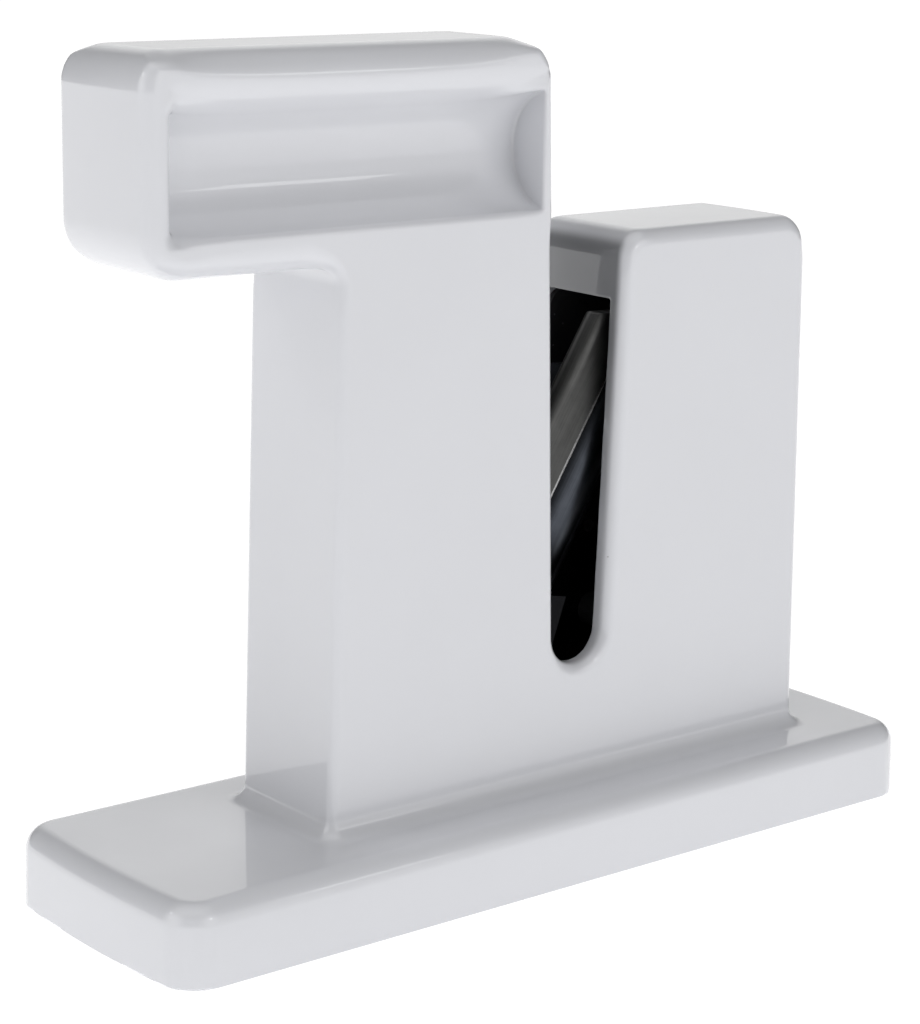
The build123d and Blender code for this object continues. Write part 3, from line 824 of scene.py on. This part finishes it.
finishes = {
    "enamel": enamel(),
    "cover": moulded("black cover", (0.012, 0.012, 0.013), (0.02, 0.02, 0.021), 0.5),
    "rubber": moulded("foot rubber", (0.01, 0.01, 0.01), (0.018, 0.018, 0.018), 0.8),
    "screw_steel": bare_metal("zinc plate", (0.55, 0.56, 0.58), (0.66, 0.67, 0.70), 0.3),
    "cartridge": moulded("black nylon", (0.020, 0.020, 0.022), (0.030, 0.030, 0.032), 0.5),
    "pin_steel": bare_metal("ground pin steel", (0.30, 0.30, 0.31), (0.42, 0.42, 0.43), 0.3),
    "spacer": moulded("black sleeve", (0.015, 0.015, 0.016), (0.022, 0.022, 0.023), 0.5),
    "spring_steel": bare_metal("spring wire", (0.16, 0.16, 0.17), (0.24, 0.24, 0.25), 0.35),
    "arm": bare_metal(
        "blackened arm", ARM_LOW, ARM_HIGH, 0.38, along_arm, ARM_HIGHLIGHT, ARM_GROOVES,
    ),
    "honing_steel": bare_metal(
        "honing steel", BAR_LOW, BAR_HIGH, 0.46, along_bar, BAR_HIGHLIGHT, BAR_GROOVES,
    ),
}
slots = {row["node"]: row["material_slot"] for row in frame["record"]["subparts"]}
for node_name, node in frame["nodes"].items():
    node.data.materials.clear()
    node.data.materials.append(finishes[slots[node_name]])

# Housing: the casting as one smooth surface
grid = (
    stations(
        (-71.2, -60.0, 0.45), (-60.0, -41.0, 2.1), (-41.0, -33.0, 0.4), (-33.0, -5.0, 2.0),
        (-5.0, 19.0, 0.35), (19.0, 47.5, 2.0), (47.5, 57.0, 0.4), (57.0, 61.0, 1.5), (61.0, 71.2, 0.45),
    ),
    mirrored(stations((0.0, 3.0, 1.5), (3.0, 11.4, 0.45), (11.4, 16.4, 1.6), (16.4, 22.9, 0.45))),
    stations(
        (0.2, 3.2, 0.3), (3.2, 8.8, 1.6), (8.8, 15.6, 0.4), (15.6, 29.6, 2.2), (29.6, 36.4, 0.4),
        (36.4, 81.5, 2.4), (81.5, 86.0, 0.35), (86.0, 122.4, 0.42),
    ),
)
shell_points, shell_faces, shell_normals = skin(casting, grid)
shell = mesh_piece("housing_shell", shell_points, shell_faces, shell_normals)
shell.data.materials.append(finishes["enamel"])
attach(shell, "stand")
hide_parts("housing")

# Honing steels
for bar_name, node_name, body_name, turned in (
    ("right_leaning_bar", "right_leaning_steel", "right_leaning_lever", False),
    ("left_leaning_bar", "left_leaning_steel", "left_leaning_lever", True),
):
    bar = steel_bar(bar_name, turned)
    bar.data.materials.append(finishes["honing_steel"])
    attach(bar, body_name)
    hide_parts(node_name)

# Springs
for spring_name, node_name, joint_name in (
    ("left_coil", "left_spring", "right_leaning_arm_pivot"),
    ("right_coil", "right_spring", "left_leaning_arm_pivot"),
):
    low, high = (np.array(corner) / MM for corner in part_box(node_name))
    middle = (low + high) / 2
    coil = wound_spring(spring_name, middle[:2], low[2], high[2])
    coil.data.materials.append(finishes["spring_steel"])
    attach(coil, "stand")
    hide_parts(node_name)
    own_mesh(coil)

# Floor: white to the camera, plain pale and faintly lit from below to the rest
floor_mesh = bpy.data.meshes.new("floor")
corners = [(x * FLOOR_REACH, y * FLOOR_REACH, 0) for x, y in ((-1, -1), (1, -1), (1, 1), (-1, 1))]
floor_mesh.from_pydata(corners, [], [(0, 1, 2, 3)])
floor = bpy.data.objects.new("floor", floor_mesh)
bpy.context.scene.collection.objects.link(floor)
floor_material, floor_tree, floor_shader = new_material("white sweep")
floor_shader.inputs["Base Color"].default_value = (0.82, 0.82, 0.83, 1)
floor_shader.inputs["Roughness"].default_value = 0.9
floor_shader.inputs["Specular IOR Level"].default_value = 0.0
floor_shader.inputs["Emission Color"].default_value = (1, 1, 1, 1)
floor_shader.inputs["Emission Strength"].default_value = FLOOR_GLOW
glow = floor_tree.nodes.new("ShaderNodeEmission")
glow.inputs["Strength"].default_value = FLOOR_WHITE
path = floor_tree.nodes.new("ShaderNodeLightPath")
share = arithmetic(floor_tree, "MULTIPLY", path.outputs["Is Camera Ray"], FLOOR_WHITE_SHARE)
blend = floor_tree.nodes.new("ShaderNodeMixShader")
floor_tree.links.new(share, blend.inputs["Fac"])
floor_tree.links.new(floor_shader.outputs["BSDF"], blend.inputs[1])
floor_tree.links.new(glow.outputs["Emission"], blend.inputs[2])
floor_tree.links.new(blend.outputs["Shader"], floor_tree.nodes["Material Output"].inputs["Surface"])
floor_mesh.materials.append(floor_material)


def toward(azimuth, height):
    """Unit direction from the object: azimuth from +Y towards +X and height above level, in degrees."""
    a, h = radians(azimuth), radians(height)
    return Vector((sin(a) * cos(h), cos(a) * cos(h), sin(h)))


# World: a light tent that glows in front, at the left, behind and above, dark round the camera
world = bpy.data.worlds.new("light tent")
world.use_nodes = True
bpy.context.scene.world = world
tree = world.node_tree
background = tree.nodes["Background"]
direction = tree.nodes.new("ShaderNodeTexCoord")
split = tree.nodes.new("ShaderNodeSeparateXYZ")
tree.links.new(direction.outputs["Generated"], split.inputs["Vector"])
climb = tree.nodes.new("ShaderNodeMapRange")
climb.inputs["From Max"].default_value = 0.9
climb.inputs["To Min"].default_value = TENT_LEVEL
climb.inputs["To Max"].default_value = TENT_ROOF
tree.links.new(split.outputs["Z"], climb.inputs["Value"])
level = climb.outputs["Result"]
for (azimuth, height), outer, inner, gain in TENT_SIDES:
    facing = tree.nodes.new("ShaderNodeVectorMath")
    facing.operation = "DOT_PRODUCT"
    facing.inputs[1].default_value = toward(azimuth, height)
    tree.links.new(direction.outputs["Generated"], facing.inputs[0])
    spot = tree.nodes.new("ShaderNodeMapRange")
    spot.interpolation_type = "SMOOTHSTEP"
    spot.inputs["From Min"].default_value = cos(radians(outer))
    spot.inputs["From Max"].default_value = cos(radians(inner))
    spot.inputs["To Max"].default_value = gain
    tree.links.new(facing.outputs["Value"], spot.inputs["Value"])
    level = arithmetic(tree, "ADD", level, spot.outputs["Result"])
background.inputs["Color"].default_value = (1.0, 1.0, 1.0, 1)
tree.links.new(level, background.inputs["Strength"])
white = tree.nodes.new("ShaderNodeBackground")
white.inputs["Color"].default_value = (1.0, 1.0, 1.0, 1)
white.inputs["Strength"].default_value = 1.0
camera_ray = tree.nodes.new("ShaderNodeLightPath")
sky_mix = tree.nodes.new("ShaderNodeMixShader")
tree.links.new(camera_ray.outputs["Is Camera Ray"], sky_mix.inputs["Fac"])
tree.links.new(background.outputs["Background"], sky_mix.inputs[1])
tree.links.new(white.outputs["Background"], sky_mix.inputs[2])
tree.links.new(sky_mix.outputs["Shader"], tree.nodes["World Output"].inputs["Surface"])

# Lamps: small ones, placed by the highlights in the photograph
for lamp_name, azimuth, height, watts in LAMPS:
    data = bpy.data.lights.new(lamp_name, "AREA")
    data.size = LAMP_SIZE
    data.energy = watts
    light = bpy.data.objects.new(lamp_name, data)
    away = toward(azimuth, height)
    lamp_place = Vector((0.0, 0.0, LAMP_AIM_HEIGHT)) + LAMP_DISTANCE * away
    turn = away.to_track_quat("Z", "Y").to_matrix().to_4x4()
    light.matrix_world = Matrix.Translation(lamp_place) @ turn
    bpy.context.scene.collection.objects.link(light)

# Camera, at the photograph's viewpoint
azimuth, dip, roll = (radians(a) for a in (CAMERA_AZIMUTH, CAMERA_DIP, CAMERA_ROLL))
ahead = Vector((sin(azimuth) * cos(dip), cos(azimuth) * cos(dip), -sin(dip)))
level_right = ahead.cross(Vector((0, 0, 1))).normalized()
level_up = level_right.cross(ahead)
right = level_right * cos(roll) + level_up * sin(roll)
up = level_up * cos(roll) - level_right * sin(roll)
camera_data = bpy.data.cameras.new("camera")
camera_data.sensor_fit = "VERTICAL"
camera_data.angle = radians(CAMERA_FIELD)
camera_data.clip_start = 0.01
camera = bpy.data.objects.new("camera", camera_data)
turn = Matrix((right, up, -ahead)).transposed().to_4x4()
camera.matrix_world = Matrix.Translation(CAMERA_PLACE) @ turn
bpy.context.scene.collection.objects.link(camera)
bpy.context.scene.camera = camera
bpy.context.scene.view_settings.view_transform = "Standard"
